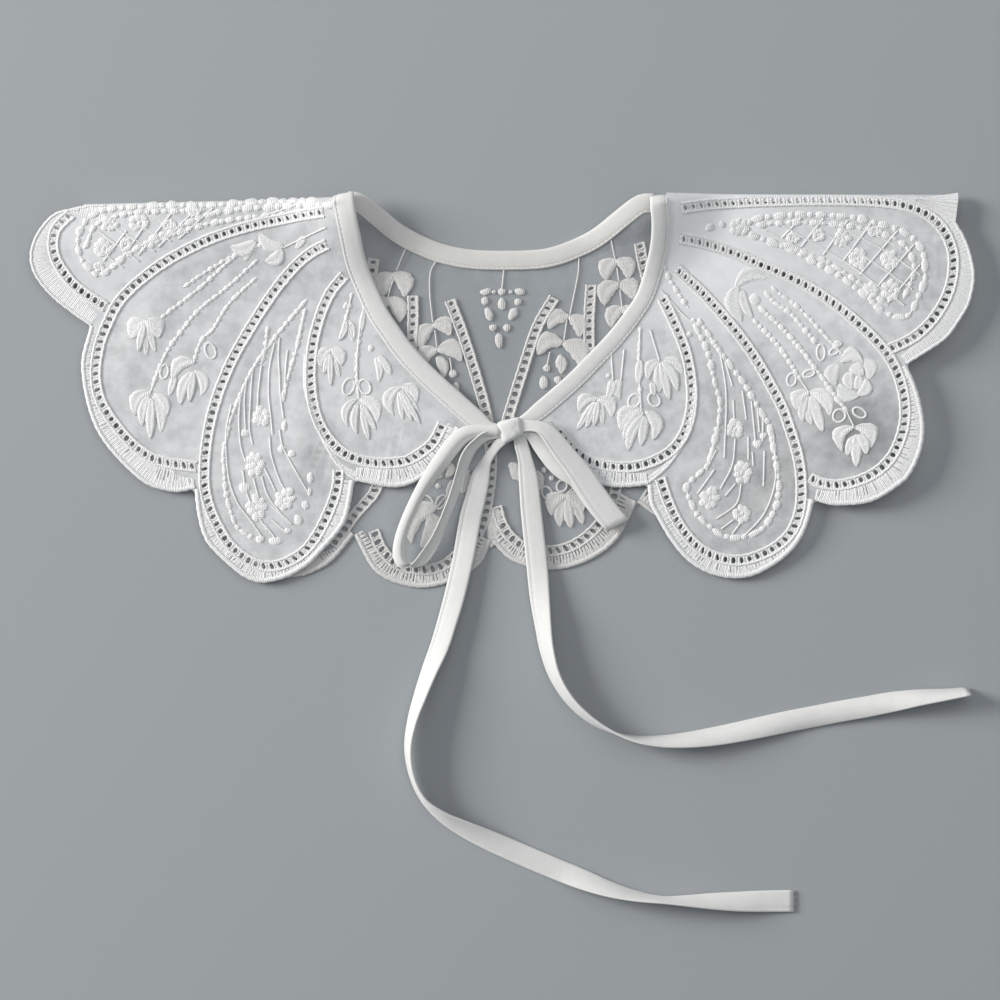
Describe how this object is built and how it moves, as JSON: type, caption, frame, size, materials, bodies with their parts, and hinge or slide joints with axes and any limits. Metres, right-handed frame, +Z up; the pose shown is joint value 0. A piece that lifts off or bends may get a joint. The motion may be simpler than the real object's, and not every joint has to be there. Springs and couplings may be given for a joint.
{
  "type": "lace collar",
  "caption": "Detachable collar of embroidered organza with scalloped petals, a bound neck and tape ties in a bow, folded at the shoulders and laid flat.",
  "frame": {"origin": "On the flat underside of the back panel, at the centre back, 64 mm below the middle of the back neck binding.", "axes": "+X runs along the collar's width to the right as seen from above, +Y runs toward the shoulder folds, +Z is up, out of the surface it lies on."},
  "size_m": [0.4338, 0.3314, 0.018],
  "materials": {
    "embroidered_organza": "sheer white organza with white satin-stitch embroidery",
    "cotton_binding": "matt off-white plain-weave cotton bias tape"
  },
  "bodies": {
    "root": {"lace_back": "embroidered_organza", "lace_front_left": "embroidered_organza", "lace_front_right": "embroidered_organza", "neck_binding_back": "cotton_binding", "neck_binding_front_left": "cotton_binding", "neck_binding_front_right": "cotton_binding", "bow_knot": "cotton_binding", "bow_loop_left": "cotton_binding", "bow_loop_right": "cotton_binding", "tie_left": "cotton_binding", "tie_right": "cotton_binding"}
  },
  "joints": []
}
